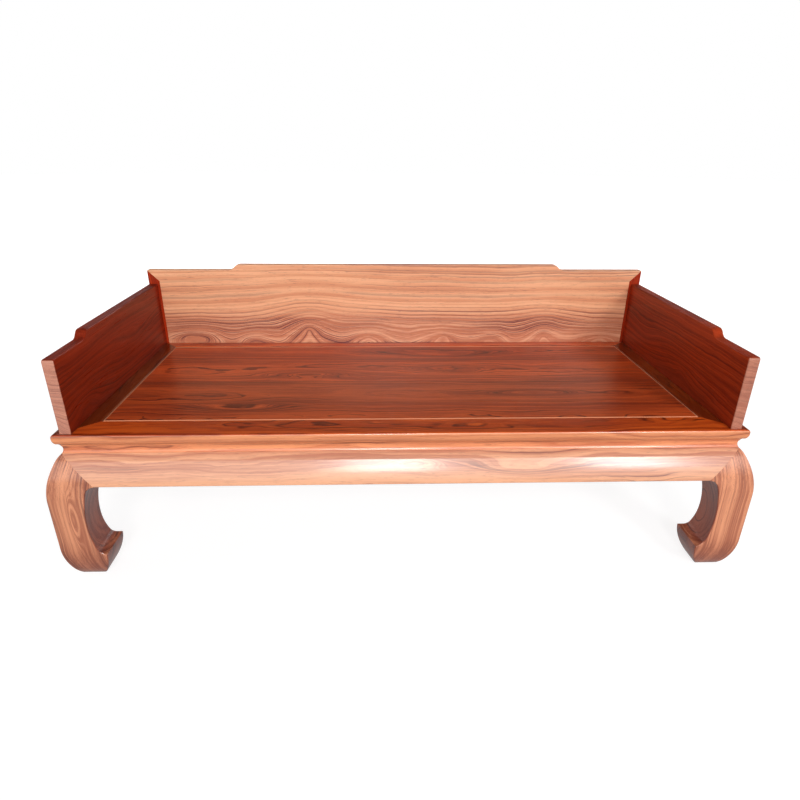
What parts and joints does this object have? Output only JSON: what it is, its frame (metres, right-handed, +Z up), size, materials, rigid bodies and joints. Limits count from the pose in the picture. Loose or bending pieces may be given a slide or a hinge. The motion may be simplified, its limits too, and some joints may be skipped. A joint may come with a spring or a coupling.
{
  "type": "luohan daybed",
  "caption": "Three-railed hardwood daybed: framed flat seat on a coved waist, bulging aprons and square legs with inward hoof feet.",
  "frame": {"origin": "on the floor, under the middle of the seat", "axes": "+Z up, -Y towards the open front, +X to the right of someone who faces the front"},
  "size_m": [2.126, 1.056, 0.7973],
  "materials": {
    "rosewood_seat_panel": "glossy lacquer over solid rosewood",
    "rosewood_legs": "glossy lacquer over solid rosewood",
    "rosewood_rails": "glossy lacquer over solid rosewood, with a figured grain",
    "rosewood_rail_ends": "glossy lacquer over solid rosewood, a darker strip",
    "rosewood_hidden": "bare planed rosewood",
    "rosewood_frame": "glossy lacquer over solid rosewood",
    "rosewood_aprons": "glossy lacquer over solid rosewood"
  },
  "bodies": {
    "seat": {"frame_front": "rosewood_frame", "frame_back": "rosewood_frame", "frame_left": "rosewood_frame", "frame_right": "rosewood_frame", "seat_board_1": "rosewood_seat_panel", "seat_board_2": "rosewood_seat_panel", "seat_board_3": "rosewood_seat_panel", "seat_board_4": "rosewood_seat_panel", "seat_batten_1": "rosewood_hidden", "seat_batten_2": "rosewood_hidden", "seat_batten_3": "rosewood_hidden", "seat_batten_4": "rosewood_hidden", "seat_batten_5": "rosewood_hidden", "waist_front": "rosewood_aprons", "waist_right": "rosewood_aprons", "waist_back": "rosewood_aprons", "waist_left": "rosewood_aprons", "apron_front": "rosewood_aprons", "apron_right": "rosewood_aprons", "apron_back": "rosewood_aprons", "apron_left": "rosewood_aprons", "leg_front_left": "rosewood_legs", "leg_front_right": "rosewood_legs", "leg_back_left": "rosewood_legs", "leg_back_right": "rosewood_legs"},
    "back_rail": {"back_board": "rosewood_rails", "back_batten_left": "rosewood_rail_ends", "back_batten_right": "rosewood_rail_ends", "back_tenon_1": "rosewood_hidden", "back_tenon_2": "rosewood_hidden", "back_tenon_3": "rosewood_hidden"},
    "left_rail": {"left_board": "rosewood_rails", "left_key_lower": "rosewood_hidden", "left_key_upper": "rosewood_hidden", "left_tenon_front": "rosewood_hidden", "left_tenon_back": "rosewood_hidden"},
    "right_rail": {"right_board": "rosewood_rails", "right_key_lower": "rosewood_hidden", "right_key_upper": "rosewood_hidden", "right_tenon_front": "rosewood_hidden", "right_tenon_back": "rosewood_hidden"}
  },
  "joints": [
    {"name": "back_rail_lift", "type": "slide", "parent": "seat", "child": "back_rail", "axis": [0, 0, 1], "range_m": [0, 0.03]},
    {"name": "left_rail_lift", "type": "slide", "parent": "back_rail", "child": "left_rail", "axis": [0, 0, 1], "range_m": [0, 0.03]},
    {"name": "right_rail_lift", "type": "slide", "parent": "back_rail", "child": "right_rail", "axis": [0, 0, 1], "range_m": [0, 0.03]}
  ]
}
